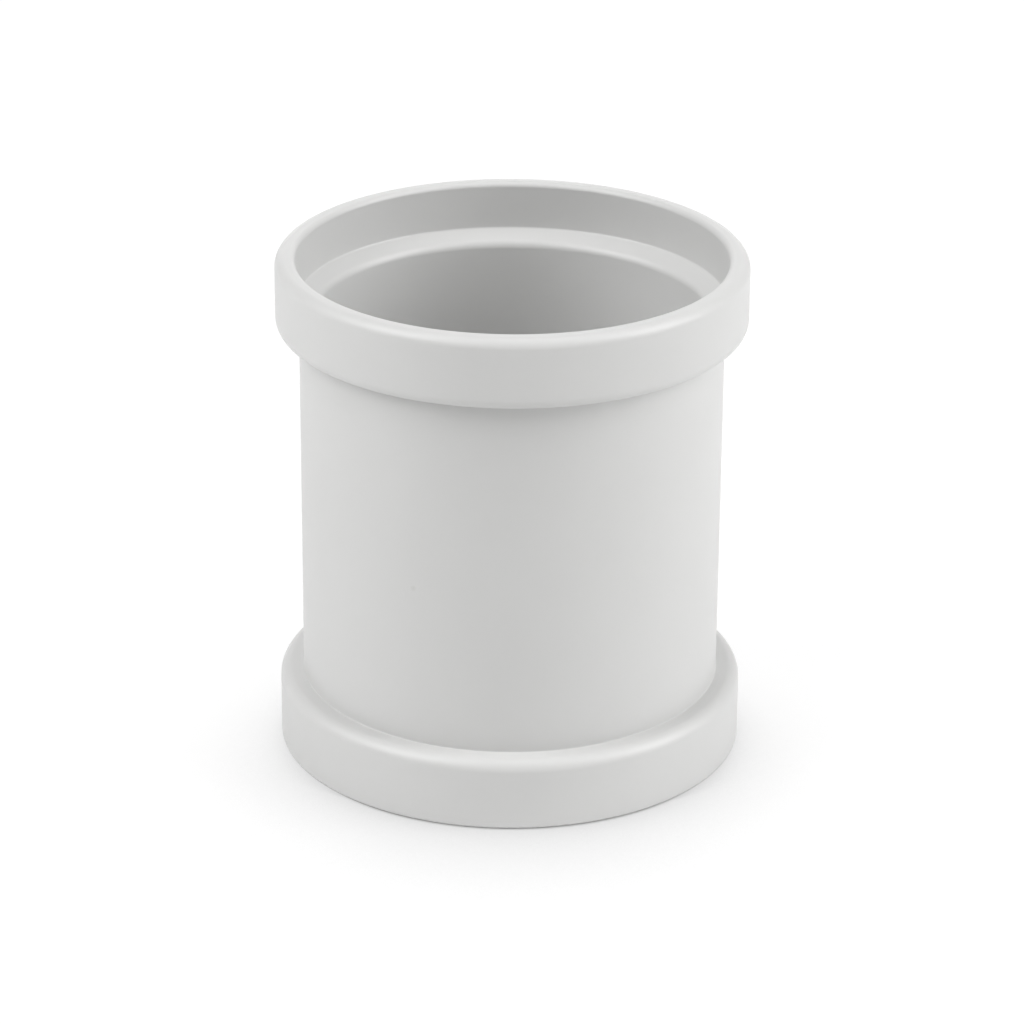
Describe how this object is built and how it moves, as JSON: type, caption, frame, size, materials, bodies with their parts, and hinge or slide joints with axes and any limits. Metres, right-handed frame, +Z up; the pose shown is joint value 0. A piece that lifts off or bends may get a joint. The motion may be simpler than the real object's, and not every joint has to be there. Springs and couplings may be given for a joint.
{
  "type": "sewer pipe coupler",
  "caption": "Straight moulded sewer pipe coupler: a plain round barrel with a thicker collar and a stepped socket mouth at each end, joining pipes end to end.",
  "frame": {"origin": "centre of the lower end, on the plane that the coupler stands on", "axes": "+Z up along the bore's axis, towards the upper end; +X and +Y are free, since the part is round"},
  "size_m": [0.132, 0.132, 0.1448],
  "materials": {
    "pvc": "satin moulded rigid PVC, pale grey-white"
  },
  "bodies": {
    "root": {"coupler": "pvc"}
  },
  "joints": []
}
